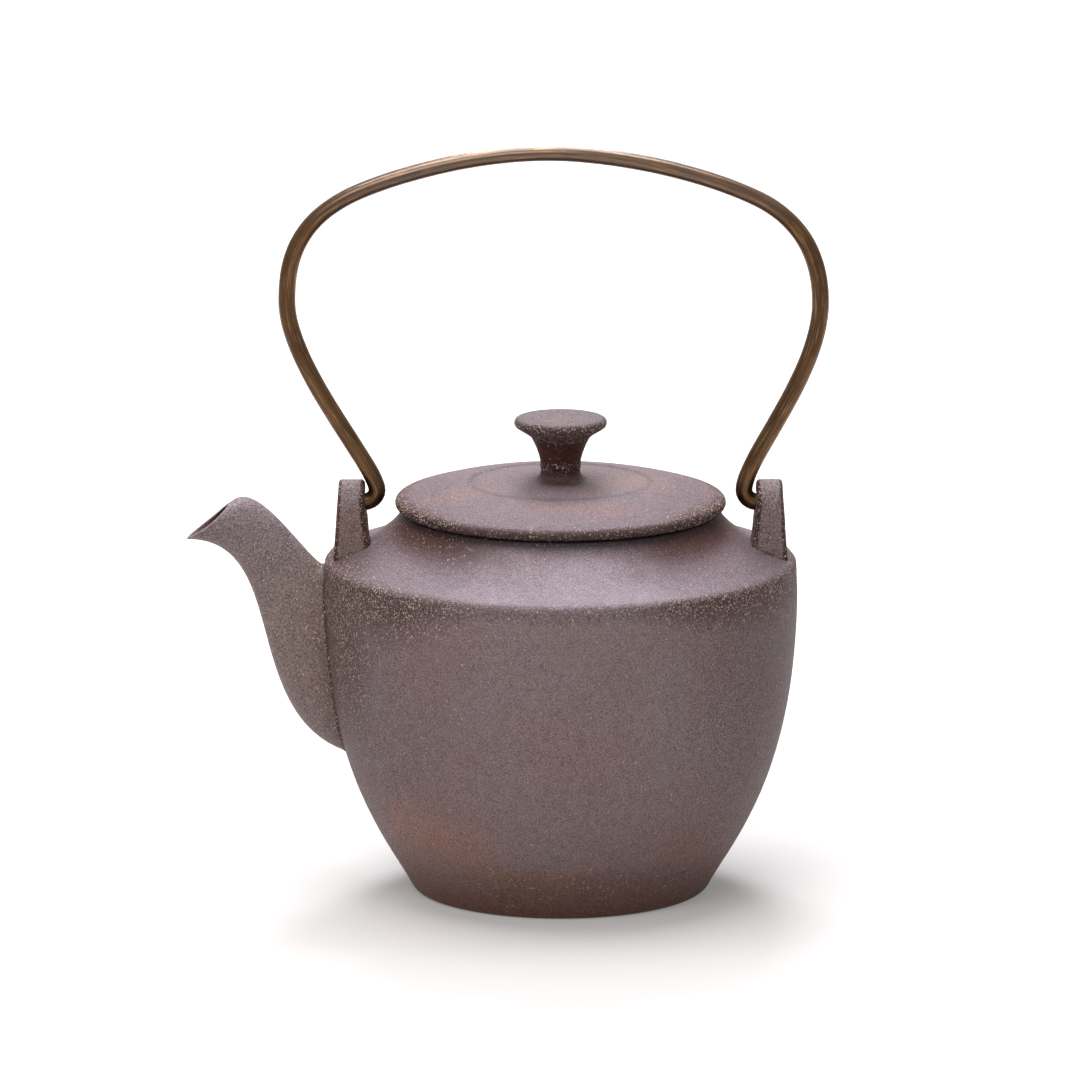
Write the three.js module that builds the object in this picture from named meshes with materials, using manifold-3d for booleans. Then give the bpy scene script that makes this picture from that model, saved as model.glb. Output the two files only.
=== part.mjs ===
// Top-handle teapot in unglazed stoneware: a thrown pot with a luted spout, a pierced clay strainer
// behind it, two clay lugs, a loose lid with a turned knob, and a brass rod bail hooked through the lugs.
// Millimetres, +Z up. The origin is the middle of the foot, and the spout points to -X.

import * as THREE from 'three';
import { mergeVertices } from 'three/addons/utils/BufferGeometryUtils.js';
import Module from 'manifold-3d';

const wasm = await Module();
wasm.setup();

// Thrown pot: foot and wall
const footRadius = 37.4;
const footBevel = 1.9;
const wallLean = 63;
const footCurve = 12;
const bellyRadius = 61.8;
const bellyHeight = 79.3;
const bellyCurve = 48.6;
const wallThickness = 4.2;
const floorThickness = 5;
const floorFillet = 4;

// Thrown pot: shoulder, neck and mouth
const edgeHeight = 86.3;
const edgeInset = 0.3;
const edgeRounding = 1.7;
const shoulderSlope = 16;
const shoulderCurve = 11.3;
const shoulderWidth = 20.2;
const neckRise = 14.3;
const neckLean = 55;
const neckCurve = 5.7;
const rimThickness = 4.9;
const rimRounding = 1.1;
const mouthLand = 3;

// Lid with its locating flange, vent and knob
const lidOverhang = 1.4;
const lidEdge = 3.3;
const lidSeatGap = 0.3;
const ringRadius = 24.1;
const ringHeight = 7.1;
const ringStep = 0.35;
const crownHeight = 7.7;
const padRadius = 7.6;
const lidThickness = 4.4;
const flangePlay = 0.8;
const flangeThickness = 3;
const flangeDepth = 8;
const ventRadius = 1.2;
const ventReach = 13.5;
const knobFootRadius = 6.6;
const knobWaistRadius = 5.05;
const knobWaistHeight = 2.6;
const knobRadius = 12.05;
const knobRim = 2.8;
const knobHeight = 16.6;
const knobCrown = 0.3;

// Lugs
const lugInset = 11.4;
const lugThickness = 7.6;
const lugInnerLean = 4.7;
const lugOuterLean = 3.8;
const lugArchRadius = 5.9;
const lugFootHalfWidth = 6.8;
const lugDome = 1.1;
const lugRounding = 1;
const pivotRise = 16.2;

// Brass rod bail
const rodDiameter = 4.5;
const rodPlay = 0.4;
const hookGap = 0.5;
const hookBend = 3.1;
const hookRecess = 0.8;
const bailRise = 92;
const crownOffset = 3;
const frontArm = { reach: 70.9, rise: 53, lift: 6, sweep: 17 };
const frontCorner = { reach: 50, drop: 9.2, slope: 21.5, lift: 12, sweep: 19 };
const frontCrown = { lift: 12, sweep: 18 };
const rearArm = { reach: 67.3, rise: 52.6, lift: 8.4, sweep: 19 };
const rearCorner = { reach: 50, drop: 11.5, slope: 25, lift: 15, sweep: 10.7 };
const rearCrown = { lift: 17.7, sweep: 14.7 };

// Spout
const spoutReach = 35.3;
const spoutTipRise = 6.3;
const mouthLength = 17.5;
const mouthSlope = 40;
const mouthHalfWidth = 4.7;
const mouthDip = 0.5;
const lipRounding = 0.5;
const rootBottom = 34.6;
const rootTopDrop = 0.3;
const rootDepth = 11.9;
const rootHalfWidth = 10.6;
const heelCurve = 36.8;
const heelSlope = 8.7;
const lipCurve = 29;
const throatCurve = 4.65;
const throatSlope = 24.8;
const crestCurve = 7.6;
const crestSlope = 8;
const spoutLag = 0.62;
const spoutWallRoot = 3.4;
const spoutWallLip = 1.7;

// Strainer and the opening that it covers
const openingHeight = 61;
const openingHalfHeight = 16.5;
const openingHalfWidth = 8.6;
const strainerOverlap = 3.6;
const strainerDepth = 14;
const strainerThickness = 2.6;
const strainerHoleRadius = 1.2;
const strainerRows = [1, 6, 12];
const strainerRowAngle = 19;

// Clay that is luted together keeps this seam
const seamGap = 0.3;

// Facets
const potSegments = 52;
const lidSegments = 48;
const knobSegments = 30;
const rodSides = 12;
const spoutSides = 24;
const spoutRings = 17;
const wallSteps = 9;
const shoulderSteps = 7;
const boreSides = 20;
const lugSides = 28;
const pierceSides = 6;
const ballSegments = 20;
const ballRows = 12;
const mergeTolerance = 1e-4;

// What follows from them
const edgeRadius = bellyRadius - edgeInset;
const neckRadius = bellyRadius - shoulderWidth;
const rimHeight = edgeHeight + neckRise;
const mouthRadius = neckRadius - rimThickness;
const lidRadius = neckRadius + lidOverhang;
const lidSeat = rimHeight + lidSeatGap;
const flangeRadius = mouthRadius - flangePlay;
const lidCrown = lidSeat + crownHeight;
const pivotHeight = edgeHeight + pivotRise;
const lugReach = bellyRadius - lugInset;
const rodRadius = rodDiameter / 2;
const lugHoleRadius = rodRadius + rodPlay;
const hookReach = lugReach - hookGap - rodRadius;

const radians = THREE.MathUtils.degToRad;
const lerp = THREE.MathUtils.lerp;

function point(x, y) {
  return new THREE.Vector2(x, y);
}

// A point that lies a length away from another, at an angle in degrees
function away(from, length, angle) {
  return point(from.x + length * Math.cos(radians(angle)), from.y + length * Math.sin(radians(angle)));
}

// Each curve point moved sideways by a distance: left of the run for a positive one
function offset(points, distance) {
  return points.map((here, i) => {
    const before = points[Math.max(i - 1, 0)];
    const after = points[Math.min(i + 1, points.length - 1)];
    const run = after.clone().sub(before).normalize();
    return point(here.x - run.y * distance, here.y + run.x * distance);
  });
}

function solidOf(geometry) {
  geometry.deleteAttribute('normal');
  geometry.deleteAttribute('uv');
  const merged = mergeVertices(geometry, mergeTolerance);
  const corners = merged.index.array;
  const triangles = [];
  for (let i = 0; i < corners.length; i += 3) {
    const [a, b, c] = corners.slice(i, i + 3);
    if (a !== b && b !== c && c !== a) {
      triangles.push(a, b, c);
    }
  }
  const mesh = new wasm.Mesh({
    numProp: 3,
    vertProperties: new Float32Array(merged.attributes.position.array),
    triVerts: new Uint32Array(triangles),
  });
  return new wasm.Manifold(mesh);
}

function geometryOf(solid) {
  const mesh = solid.getMesh();
  const geometry = new THREE.BufferGeometry();
  geometry.setAttribute('position', new THREE.BufferAttribute(mesh.vertProperties, 3));
  geometry.setIndex(new THREE.BufferAttribute(mesh.triVerts, 1));
  geometry.computeVertexNormals();
  return geometry;
}

// A profile of radius and height, turned about the upright axis
function revolve(profile, segments) {
  const geometry = new THREE.LatheGeometry(profile, segments);
  geometry.rotateX(Math.PI / 2);
  return solidOf(geometry);
}

// Faces between rings of equally many points, and back from the last to the first where they loop
function ringFaces(count, sides, looped) {
  const triangles = [];
  const spans = looped ? count : count - 1;
  for (let ring = 0; ring < spans; ring += 1) {
    const here = ring * sides;
    const there = ((ring + 1) % count) * sides;
    for (let side = 0; side < sides; side += 1) {
      const next = (side + 1) % sides;
      triangles.push(here + side, here + next, there + next);
      triangles.push(here + side, there + next, there + side);
    }
  }
  return triangles;
}

function solidFrom(vertices, triangles) {
  const geometry = new THREE.BufferGeometry();
  const places = vertices.flatMap((v) => v.toArray());
  geometry.setAttribute('position', new THREE.Float32BufferAttribute(places, 3));
  geometry.setIndex(triangles);
  return solidOf(geometry);
}

function centreOf(ring) {
  return ring.reduce((sum, v) => sum.add(v), new THREE.Vector3()).divideScalar(ring.length);
}

// A closed solid through rings, with flat ends
function loft(rings) {
  const sides = rings[0].length;
  const last = (rings.length - 1) * sides;
  const start = last + sides;
  const triangles = ringFaces(rings.length, sides, false);
  for (let side = 0; side < sides; side += 1) {
    const next = (side + 1) % sides;
    triangles.push(start, next, side, start + 1, last + side, last + next);
  }
  return solidFrom([...rings.flat(), centreOf(rings[0]), centreOf(rings.at(-1))], triangles);
}

// A solid with a hole through it, whose rings run round its section and meet again
function hoop(rings) {
  return solidFrom(rings.flat(), ringFaces(rings.length, rings[0].length, true));
}

function cylinder(radius, length, sides) {
  return new THREE.CylinderGeometry(radius, radius, length, sides);
}

// The outside of the thrown pot, from the edge of its foot up to its rim
function wallLine() {
  const start = point(footRadius + footBevel, footBevel);
  return new THREE.CubicBezierCurve(
    start,
    away(start, footCurve, wallLean),
    point(bellyRadius, bellyHeight - bellyCurve),
    point(bellyRadius, bellyHeight),
  ).getPoints(wallSteps);
}

function shoulderLine() {
  const centre = point(edgeRadius - edgeRounding, edgeHeight);
  const start = away(centre, edgeRounding, 90 - shoulderSlope);
  const end = point(neckRadius, rimHeight - rimRounding);
  return new THREE.CubicBezierCurve(
    start,
    away(start, shoulderCurve, 180 - shoulderSlope),
    away(end, neckCurve, -neckLean),
    end,
  ).getPoints(shoulderSteps);
}

function outerLine() {
  const edge = new THREE.Path();
  const turn = radians(90 - shoulderSlope);
  edge.absarc(edgeRadius - edgeRounding, edgeHeight, edgeRounding, 0, turn, false);
  return [...wallLine(), ...edge.getPoints(2), ...shoulderLine().slice(1)];
}

// The inside, as far from the outside as the wall is thick
function innerLine(gap = 0) {
  const thickness = wallThickness + gap;
  const floor = floorThickness + gap;
  const innerEdge = edgeRadius - edgeRounding - thickness;
  const wall = offset(wallLine(), thickness).filter((p) => p.y > floor + floorFillet);
  const corner = wall[0];
  const underFloor = new THREE.QuadraticBezierCurve(
    point(corner.x - 2 * floorFillet, floor),
    point(corner.x - floorFillet / 2, floor),
    corner,
  ).getPoints(3);
  const shoulder = offset(shoulderLine(), thickness)
    .filter((p) => p.x < innerEdge && p.y < rimHeight - mouthLand);
  return [point(0, floor), ...underFloor, ...wall.slice(1), ...shoulder];
}

// The solid that the pot's outside encloses, larger all round by a gap
function potEnvelope(gap) {
  const line = offset(outerLine(), -gap);
  const first = line[0];
  const last = line[line.length - 1];
  return revolve([point(0, -gap), point(first.x, -gap), ...line, point(0, last.y)], potSegments);
}

// The room inside the pot, smaller all round by a gap
function potRoom(gap) {
  const line = innerLine(gap);
  const last = line[line.length - 1];
  return revolve([...line, point(0, last.y)], potSegments);
}

// The opening behind the spout, cut straight through the wall
function spoutOpening() {
  const cutter = cylinder(1, 2 * strainerDepth, boreSides);
  cutter.rotateZ(Math.PI / 2);
  cutter.scale(1, openingHalfWidth, openingHalfHeight);
  cutter.translate(-bellyRadius, 0, openingHeight);
  return solidOf(cutter);
}

function potBody() {
  const inside = innerLine().reverse();
  const rim = new THREE.Path();
  rim.absarc(neckRadius - rimRounding, rimHeight - rimRounding, rimRounding, 0, Math.PI / 2, false);
  const profile = [
    point(0, 0),
    point(footRadius, 0),
    ...outerLine(),
    ...rim.getPoints(2).slice(1),
    point(mouthRadius, rimHeight),
    point(mouthRadius, rimHeight - mouthLand / 2),
    ...inside,
  ];
  return revolve(profile, potSegments).subtract(spoutOpening());
}

// Lower and upper outlines of the spout, in X and Z, from inside the wall out to the lip
function spoutGuides() {
  const tip = point(-bellyRadius - spoutReach, edgeHeight + spoutTipRise);
  const heel = point(rootDepth - bellyRadius, rootBottom);
  const lower = new THREE.CubicBezierCurve(
    heel,
    away(heel, heelCurve, 180 - heelSlope),
    away(tip, lipCurve, 0),
    tip,
  );
  const throat = point(-bellyRadius - seamGap, edgeHeight - rootTopDrop);
  const crest = away(tip, mouthLength, mouthSlope);
  const upper = new THREE.CurvePath();
  upper.add(new THREE.LineCurve(away(throat, rootDepth / 2, -throatSlope), throat));
  upper.add(new THREE.CubicBezierCurve(
    throat,
    away(throat, throatCurve, 180 - throatSlope),
    away(crest, crestCurve, crestSlope),
    crest,
  ));
  return { lower, upper };
}

// The spout's outline, smaller all round by a wall that thins from the root to the lip
function spoutForm(rootWall, lipWall) {
  const { lower, upper } = spoutGuides();
  const rings = [];
  for (let i = 0; i <= spoutRings; i += 1) {
    const t = i / spoutRings;
    const low = lower.getPointAt(t);
    const high = upper.getPointAt(spoutLag * t + (1 - spoutLag) * t ** 5);
    const wall = lerp(rootWall, lipWall, t);
    const across = high.clone().sub(low);
    const half = 1 - 2 * wall / across.length();
    const middle = low.clone().add(high).divideScalar(2);
    const width = lerp(rootHalfWidth, mouthHalfWidth, THREE.MathUtils.smoothstep(t, 0, 1)) - wall;
    rings.push(spoutRing(middle, across.multiplyScalar(half / 2), width, mouthDip * t ** 4));
  }
  return rings;
}

// An ellipse across the spout, whose sides dip back from its plane
function spoutRing(middle, reach, width, dip) {
  const back = reach.clone().normalize().multiplyScalar(dip);
  const ring = [];
  for (let side = 0; side < spoutSides; side += 1) {
    const angle = 2 * Math.PI * side / spoutSides;
    const along = Math.cos(angle);
    const aside = Math.sin(angle);
    ring.push(new THREE.Vector3(
      middle.x + reach.x * along + back.y * aside ** 2,
      width * aside,
      middle.y + reach.y * along - back.x * aside ** 2,
    ));
  }
  return ring;
}

// The last ring again, moved out of the mouth by one length and drawn in by another
function beyond(rings, out, inset) {
  const last = rings[rings.length - 1];
  const middle = last[0].clone().add(last[spoutSides / 2]).divideScalar(2);
  const facing = away(point(0, 0), out, 90 + mouthSlope);
  return last.map((v) => {
    const inward = middle.clone().sub(v).setLength(inset);
    return v.clone().add(inward).add(new THREE.Vector3(facing.x, 0, facing.y));
  });
}

function spout() {
  const outside = spoutForm(0, 0);
  const passage = spoutForm(spoutWallRoot, spoutWallLip);
  const body = loft([...outside, beyond(outside, lipRounding, lipRounding)]);
  const bore = loft([...passage, beyond(passage, 2 * lipRounding, 0)]);
  return body.subtract(bore).subtract(potEnvelope(seamGap));
}

// A pierced half shell of clay, luted over the opening on the inside of the wall
function strainer() {
  const half = new THREE.Vector3(
    strainerDepth,
    openingHalfWidth + strainerOverlap,
    openingHalfHeight + strainerOverlap,
  );
  const centre = new THREE.Vector3(wallThickness - bellyRadius, 0, openingHeight);
  const hollow = ellipsoid(half.clone().subScalar(strainerThickness), centre);
  const shell = ellipsoid(half, centre).subtract(hollow);
  const holes = strainerRows.flatMap((count, row) => pierceRow(count, row, half, centre));
  return holes.reduce((clay, hole) => clay.subtract(hole), shell).intersect(potRoom(seamGap));
}

function ellipsoid(half, centre) {
  const ball = new THREE.SphereGeometry(1, ballSegments, ballRows);
  ball.rotateX(Math.PI / 2);
  ball.scale(half.x, half.y, half.z);
  ball.translate(centre.x, centre.y, centre.z);
  return solidOf(ball);
}

// One ring of holes, each square to the shell
function pierceRow(count, row, half, centre) {
  const tilt = radians(row * strainerRowAngle);
  const inner = half.clone().subScalar(strainerThickness / 2);
  return Array.from({ length: count }, (_, i) => {
    const turn = 2 * Math.PI * (i + (row % 2) / 2) / count;
    const ray = new THREE.Vector3(
      Math.cos(tilt),
      Math.sin(tilt) * Math.cos(turn),
      Math.sin(tilt) * Math.sin(turn),
    );
    const normal = ray.clone().divide(half).normalize();
    const hole = cylinder(strainerHoleRadius, 3 * strainerThickness, pierceSides);
    hole.applyQuaternion(new THREE.Quaternion().setFromUnitVectors(new THREE.Vector3(0, 1, 0), normal));
    const place = ray.multiply(inner).add(centre);
    hole.translate(place.x, place.y, place.z);
    return solidOf(hole);
  });
}

// How far the lug reaches from the pivot: an arch above it, and a foot that widens below
function archReach(angle) {
  const drop = -Math.sin(angle);
  const aside = Math.abs(Math.cos(angle));
  const flare = (lugFootHalfWidth - lugArchRadius) / pivotRise;
  if (drop <= 0) {
    return lugArchRadius;
  }
  const toFoot = pivotRise / drop;
  return aside > flare * drop ? Math.min(toFoot, lugArchRadius / (aside - flare * drop)) : toFoot;
}

// One ring about the pivot, at a share of the way from the lug's inner face to its outer one
function lugRing(reach, share) {
  return Array.from({ length: lugSides }, (_, side) => {
    const angle = 2 * Math.PI * side / lugSides;
    const across = reach(angle) * Math.cos(angle);
    const rise = reach(angle) * Math.sin(angle);
    const rising = THREE.MathUtils.clamp(1 + rise / pivotRise, 0, 1);
    const dome = lugDome * rising * (across / lugArchRadius) ** 2;
    const inner = lugReach + dome + rise * Math.tan(radians(lugInnerLean));
    const outer = lugReach + lugThickness - rise * Math.tan(radians(lugOuterLean));
    return new THREE.Vector3(-lerp(inner, outer, share), across, pivotHeight + rise);
  });
}

// An arched slab on the shoulder towards -X, thinner at its top and sides, with a round-lipped hole
function lug() {
  const lip = lugRounding / lugThickness;
  const edge = 1 - Math.SQRT1_2;
  const face = [
    [() => lugHoleRadius, lip],
    [() => lugHoleRadius + edge * lugRounding, edge * lip],
    [() => lugHoleRadius + lugRounding, 0],
    [(angle) => archReach(angle) - lugRounding, 0],
    [(angle) => archReach(angle) - edge * lugRounding, edge * lip],
    [archReach, lip],
  ];
  const outer = face.map(([reach, share]) => lugRing(reach, 1 - share));
  const inner = face.map(([reach, share]) => lugRing(reach, share)).reverse();
  return hoop([...outer, ...inner]).subtract(potEnvelope(seamGap));
}

function lidDisc() {
  const edge = new THREE.Path();
  const half = lidEdge / 2;
  edge.absarc(lidRadius - half, lidSeat + half, half, -Math.PI / 2, radians(75), false);
  const hollowRadius = flangeRadius - flangeThickness;
  const top = new THREE.Path();
  const rise = edge.getPoints(4);
  const shoulder = rise[rise.length - 1];
  const ringTop = lidSeat + ringHeight;
  top.moveTo(shoulder.x, shoulder.y);
  top.quadraticCurveTo((shoulder.x + ringRadius) / 2, ringTop - 1, ringRadius, ringTop);
  const profile = [
    point(0, lidCrown - lidThickness),
    point(hollowRadius / 2, lidCrown - lidThickness),
    point(hollowRadius, lidSeat),
    ...rise,
    ...top.getPoints(5).slice(1),
    point(ringRadius - ringStep, ringTop - ringStep),
    point(padRadius, lidCrown),
    point(0, lidCrown),
  ];
  const vent = cylinder(ventRadius, 4 * lidThickness, pierceSides + 4);
  vent.rotateX(Math.PI / 2);
  vent.translate(0, ventReach, lidCrown);
  return revolve(profile, lidSegments).subtract(solidOf(vent));
}

// The ring under the lid that keeps it centred in the mouth
function lidFlange() {
  const inner = flangeRadius - flangeThickness;
  const bottom = lidSeat - flangeDepth;
  const profile = [
    point(inner, bottom + rimRounding),
    point(inner + rimRounding, bottom),
    point(flangeRadius - rimRounding, bottom),
    point(flangeRadius, bottom + rimRounding),
    point(flangeRadius, lidSeat),
    point(inner, lidSeat),
    point(inner, bottom + rimRounding),
  ];
  return revolve(profile, lidSegments);
}

function lidKnob() {
  const rim = knobRim / 2;
  const rimRadius = knobRadius - rim;
  const rimHeightAbove = knobHeight - knobCrown - rim;
  const line = new THREE.Path();
  line.moveTo(0, 0);
  line.lineTo(knobFootRadius, 0);
  line.quadraticCurveTo(knobWaistRadius, knobWaistHeight / 3, knobWaistRadius, knobWaistHeight);
  line.bezierCurveTo(
    knobWaistRadius, 0.55 * knobHeight,
    rimRadius - rim, rimHeightAbove - 2 * rim,
    rimRadius + rim / 2, rimHeightAbove - rim * 0.87,
  );
  line.absarc(rimRadius, rimHeightAbove, rim, -Math.PI / 3, Math.PI / 2, false);
  line.lineTo(0, knobHeight);
  const profile = line.getPoints(4);
  return revolve(profile.map((p) => point(p.x, p.y + lidCrown)), knobSegments);
}

// A path of several curves, each cut into its own number of steps
class SteppedPath extends THREE.Curve {
  constructor(parts) {
    super();
    this.parts = parts;
    this.steps = parts.reduce((sum, part) => sum + part.steps, 0);
  }

  getPoint(t, target = new THREE.Vector3()) {
    let step = t * this.steps;
    let index = 0;
    while (index < this.parts.length - 1 && step > this.parts[index].steps) {
      step -= this.parts[index].steps;
      index += 1;
    }
    const place = this.parts[index].curve.getPoint(step / this.parts[index].steps);
    return target.set(place.x, 0, place.y);
  }

  getUtoTmapping(u) {
    return u;
  }
}

// Half of the bail's centre line, from the end in one lug up to the crown
function bailHalf(side, arm, corner, crown) {
  const at = (x, z) => point(side * x, pivotHeight + z);
  const lean = (from, length, angle) => away(from, length, side > 0 ? angle : 180 - angle);
  const hookEnd = lugReach + lugThickness - hookRecess;
  const bendEnd = at(hookReach, hookBend);
  const widest = at(arm.reach, arm.rise);
  const turn = at(corner.reach, bailRise - corner.drop);
  const top = point(-crownOffset, pivotHeight + bailRise);
  const bend = 0.55 * hookBend;
  return [
    { steps: 1, curve: new THREE.LineCurve(at(hookEnd, 0), at(hookReach + hookBend, 0)) },
    { steps: 5, curve: new THREE.CubicBezierCurve(
      at(hookReach + hookBend, 0), at(hookReach + bend, 0), at(hookReach, hookBend - bend), bendEnd,
    ) },
    { steps: 9, curve: new THREE.CubicBezierCurve(
      bendEnd, lean(bendEnd, arm.lift, 90), lean(widest, arm.sweep, -90), widest,
    ) },
    { steps: 7, curve: new THREE.CubicBezierCurve(
      widest, lean(widest, corner.lift, 90), lean(turn, corner.sweep, -corner.slope), turn,
    ) },
    { steps: 6, curve: new THREE.CubicBezierCurve(
      turn, lean(turn, crown.lift, 180 - corner.slope), lean(top, crown.sweep, 0), top,
    ) },
  ];
}

function reversed({ steps, curve }) {
  const ends = curve.isLineCurve ? [curve.v2, curve.v1] : [curve.v3, curve.v2, curve.v1, curve.v0];
  return { steps, curve: new curve.constructor(...ends) };
}

function bail() {
  const front = bailHalf(-1, frontArm, frontCorner, frontCrown);
  const rear = bailHalf(1, rearArm, rearCorner, rearCrown);
  const path = new SteppedPath([...front, ...rear.reverse().map(reversed)]);
  const section = new THREE.Shape();
  section.absarc(0, 0, rodRadius, 0, 2 * Math.PI, false);
  return solidOf(new THREE.ExtrudeGeometry(section, {
    steps: path.steps,
    curveSegments: rodSides / 2,
    extrudePath: path,
  }));
}

function clay(colour) {
  return new THREE.MeshStandardMaterial({ color: colour, roughness: 0.85, metalness: 0 });
}

function part(name, solid, material) {
  const mesh = new THREE.Mesh(geometryOf(solid), material);
  mesh.name = name;
  return mesh;
}

const teapot = new THREE.Group();
const lugShape = lug();
const rearLug = part('rear_lug', lugShape, clay(0x6d605c));
rearLug.rotation.z = Math.PI;
const brass = new THREE.MeshStandardMaterial({ color: 0x6b5236, roughness: 0.38, metalness: 0.9 });
teapot.add(
  part('pot_body', potBody(), clay(0x6b5d59)),
  part('spout', spout(), clay(0x6a5c58)),
  part('strainer', strainer(), clay(0x64564f)),
  part('front_lug', lugShape, clay(0x6d605c)),
  rearLug,
);

const lid = new THREE.Group();
lid.add(
  part('lid_disc', lidDisc(), clay(0x70625f)),
  part('lid_flange', lidFlange(), clay(0x64564f)),
  part('lid_knob', lidKnob(), clay(0x6b5d59)),
);
teapot.add(lid, part('bail_handle', bail(), brass));

export default teapot;
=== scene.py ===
# Top-handle teapot: turned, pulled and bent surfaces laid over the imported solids,
# with an unglazed stoneware body and a patinated brass bail. Lengths in the shape
# functions, and the places and grain sizes given to the materials, are millimetres.
# Blender's own lengths are metres. Slopes and leans are degrees.

import math

import bmesh
import bpy
import numpy as np
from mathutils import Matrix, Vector, noise


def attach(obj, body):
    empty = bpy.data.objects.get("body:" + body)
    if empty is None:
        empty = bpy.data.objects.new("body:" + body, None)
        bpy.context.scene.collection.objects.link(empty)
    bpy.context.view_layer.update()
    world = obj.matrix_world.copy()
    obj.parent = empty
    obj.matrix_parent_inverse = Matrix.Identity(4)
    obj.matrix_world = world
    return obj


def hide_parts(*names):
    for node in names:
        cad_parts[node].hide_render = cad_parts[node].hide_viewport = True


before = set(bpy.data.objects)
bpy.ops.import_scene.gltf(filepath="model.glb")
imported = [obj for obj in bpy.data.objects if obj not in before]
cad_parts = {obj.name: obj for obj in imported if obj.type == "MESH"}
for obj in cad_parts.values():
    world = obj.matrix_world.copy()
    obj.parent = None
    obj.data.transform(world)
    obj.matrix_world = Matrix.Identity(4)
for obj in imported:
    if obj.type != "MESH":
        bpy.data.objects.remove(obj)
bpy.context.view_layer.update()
MM = 0.001
TINY = 1e-6  # shorter than this counts as no length
SHARP = 42.0  # faces that meet at more than this many degrees show an edge

# Pot: foot, wall, shoulder, neck and rim
FOOT_R, FOOT_BEVEL, FOOT_CURVE, WALL_LEAN = 37.4, 1.9, 12.0, 63.0
BELLY_R, BELLY_Z, BELLY_CURVE = 61.8, 79.3, 48.6
WALL, FLOOR, FLOOR_FILLET = 4.2, 5.0, 4.0
EDGE_Z, EDGE_INSET, EDGE_ROUND = 86.3, 0.3, 1.7
SHOULDER_SLOPE, SHOULDER_CURVE, SHOULDER_WIDTH = 16.0, 11.3, 20.2
NECK_RISE, NECK_LEAN, NECK_CURVE = 14.3, 55.0, 5.7
RIM_WALL, RIM_ROUND, MOUTH_LAND, LAND_ROUND = 4.9, 1.1, 3.0, 0.6
WALL_STEPS, SHOULDER_STEPS, LATHE_SIDES = 90, 40, 224
EDGE_R, NECK_R, RIM_Z = BELLY_R - EDGE_INSET, BELLY_R - SHOULDER_WIDTH, EDGE_Z + NECK_RISE
MOUTH_R = NECK_R - RIM_WALL

# Lid and knob
LID_R, LID_EDGE, LID_SEAT = 43.0, 3.3, 100.9
RING_R, RING_RISE, CROWN_RISE, PAD_R, LID_WALL = 24.1, 7.1, 7.7, 7.6, 4.4
RIDGE = [(0.45, 0.02), (0.1, -0.02), (-0.25, -0.17), (-0.6, -0.31), (-1.0, -0.35),
         (-1.7, -0.3)]
FLANGE_R, FLANGE_WALL, FLANGE_DEPTH, FLANGE_ROUND = 35.9, 3.0, 8.0, 1.3
FLANGE_BORE = FLANGE_R - FLANGE_WALL
VENT_R, VENT_Y = 1.2, 13.5
KNOB_FOOT, KNOB_WAIST, KNOB_WAIST_Z, KNOB_R = 6.6, 5.05, 2.6, 12.05
KNOB_RIM, KNOB_RISE, KNOB_CROWN = 2.8, 16.6, 0.3

# Lugs
LUG_IN, LUG_THICK, LUG_LEAN_IN, LUG_LEAN_OUT = 50.4, 7.6, 4.7, 3.8
LUG_ARCH, LUG_FOOT, LUG_DOME, LUG_ROUND, LUG_HOLE = 5.9, 6.8, 1.1, 1.05, 2.65
PIVOT_Z = 102.5
PIVOT_RISE = PIVOT_Z - EDGE_Z
LUG_DROP = PIVOT_RISE * 1.12

# Spout
TIP = (-97.1, 92.6)
MOUTH_LENGTH, MOUTH_SLOPE, MOUTH_HALF, MOUTH_DIP = 15.2, 40.0, 4.7, 0.5
ROOT_BOTTOM, ROOT_DROP, ROOT_DEPTH, ROOT_HALF = 34.6, 0.3, 11.9, 10.6
HEEL_CURVE, HEEL_SLOPE, LIP_CURVE = 36.8, 8.7, 29.0
THROAT_CURVE, THROAT_SLOPE, CREST_CURVE, CREST_SLOPE = 4.65, 24.8, 9.5, 50.0
SPOUT_LAG, SPOUT_WALL_ROOT, SPOUT_WALL_LIP, SEAM = 0.62, 3.4, 1.7, 0.3
OPENING_Z, OPENING_HALF_Z, OPENING_HALF_Y = 61.0, 16.5, 8.6
SPOUT_SIDES = 96
FOLD = (-63.3, -3.2, 82.5)  # the middle of the small pinched fold at the spout's root
SINK = 0.9  # how far the spout's and the lugs' roots reach into the pot

# Bail
ROD_R, ROD_SIDES, ROD_END = 2.25, 36, 0.9
HOOK_X, HOOK_BEND, HOOK_END = 47.65, 3.1, 57.2
BAIL_RISE, CROWN_X = 92.0, -3.0
# arm: its widest x, its rise, and the pull of the curve below and above
# corner: x, drop from the crown, slope, and the pull on either side
# crown: the pull at the corner and at the top
FRONT = dict(arm=(70.9, 53.0, 6.0, 17.0), corner=(50.0, 9.2, 21.5, 12.0, 19.0),
             crown=(12.0, 18.0))
REAR = dict(arm=(67.3, 52.6, 8.4, 19.0), corner=(50.0, 11.5, 25.0, 15.0, 10.7),
            crown=(17.7, 14.7))


# ---------------------------------------------------------------- curves
def away(p, length, degrees):
    """The point at that length from p, in a direction counted from the first axis."""
    a = math.radians(degrees)
    return (p[0] + length * math.cos(a), p[1] + length * math.sin(a))


def bezier(p0, p1, p2, p3, n):
    t = np.linspace(0, 1, n + 1)[:, None]
    p0, p1, p2, p3 = (np.asarray(p, float) for p in (p0, p1, p2, p3))
    return ((1 - t) ** 3 * p0 + 3 * t * (1 - t) ** 2 * p1
            + 3 * t * t * (1 - t) * p2 + t ** 3 * p3)


def arc(centre, radius, start, end, n):
    a = np.radians(np.linspace(start, end, n + 1))
    return np.stack([centre[0] + radius * np.cos(a), centre[1] + radius * np.sin(a)], 1)


def full_turn(sides):
    return np.linspace(0, 2 * math.pi, sides, endpoint=False)


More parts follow.
